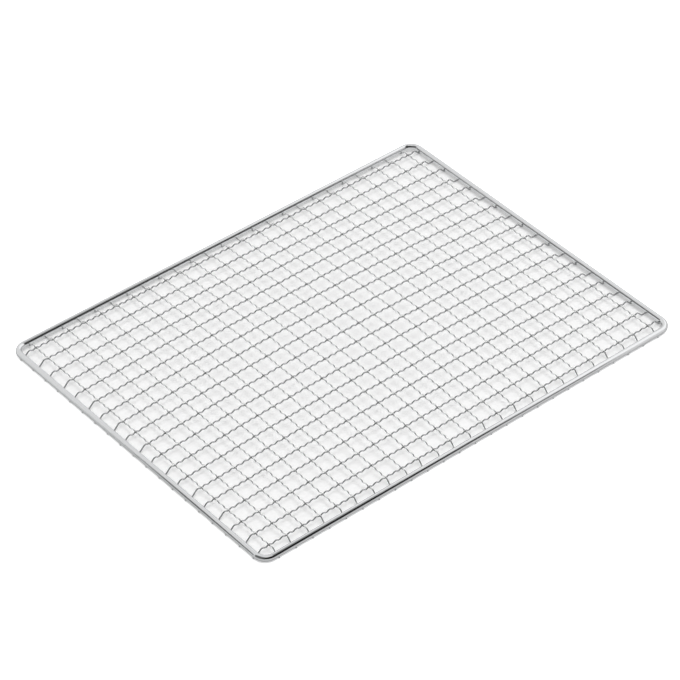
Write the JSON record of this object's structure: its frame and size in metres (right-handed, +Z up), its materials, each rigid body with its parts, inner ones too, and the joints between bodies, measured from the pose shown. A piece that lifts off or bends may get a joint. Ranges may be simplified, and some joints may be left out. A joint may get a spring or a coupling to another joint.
{
  "type": "barbecue grill mesh",
  "caption": "Rectangular barbecue grill mesh of crimped, woven steel wires that rises to a low dome inside a round-rod rim and carries food over the fire.",
  "frame": {"origin": "centre of the outline, on the plane that the wire ends rest on", "axes": "+X along the long sides of the rim, +Y along the short sides, +Z up out of the dome"},
  "size_m": [0.3978, 0.3, 0.0112],
  "materials": {
    "rim_rod": "bright polished round rod",
    "mesh_wire": "bright drawn wire, crimped"
  },
  "bodies": {
    "root": {"rim": "rim_rod", "cross_wire_01": "mesh_wire", "cross_wire_02": "mesh_wire", "cross_wire_03": "mesh_wire", "cross_wire_04": "mesh_wire", "cross_wire_05": "mesh_wire", "cross_wire_06": "mesh_wire", "cross_wire_07": "mesh_wire", "cross_wire_08": "mesh_wire", "cross_wire_09": "mesh_wire", "cross_wire_10": "mesh_wire", "cross_wire_11": "mesh_wire", "cross_wire_12": "mesh_wire", "cross_wire_13": "mesh_wire", "cross_wire_14": "mesh_wire", "cross_wire_15": "mesh_wire", "cross_wire_16": "mesh_wire", "cross_wire_17": "mesh_wire", "cross_wire_18": "mesh_wire", "cross_wire_19": "mesh_wire", "cross_wire_20": "mesh_wire", "cross_wire_21": "mesh_wire", "cross_wire_22": "mesh_wire", "cross_wire_23": "mesh_wire", "cross_wire_24": "mesh_wire", "cross_wire_25": "mesh_wire", "long_wire_01": "mesh_wire", "long_wire_02": "mesh_wire", "long_wire_03": "mesh_wire", "long_wire_04": "mesh_wire", "long_wire_05": "mesh_wire", "long_wire_06": "mesh_wire", "long_wire_07": "mesh_wire", "long_wire_08": "mesh_wire", "long_wire_09": "mesh_wire", "long_wire_10": "mesh_wire", "long_wire_11": "mesh_wire", "long_wire_12": "mesh_wire", "long_wire_13": "mesh_wire", "long_wire_14": "mesh_wire", "long_wire_15": "mesh_wire", "long_wire_16": "mesh_wire", "long_wire_17": "mesh_wire", "long_wire_18": "mesh_wire", "long_wire_19": "mesh_wire"}
  },
  "joints": []
}
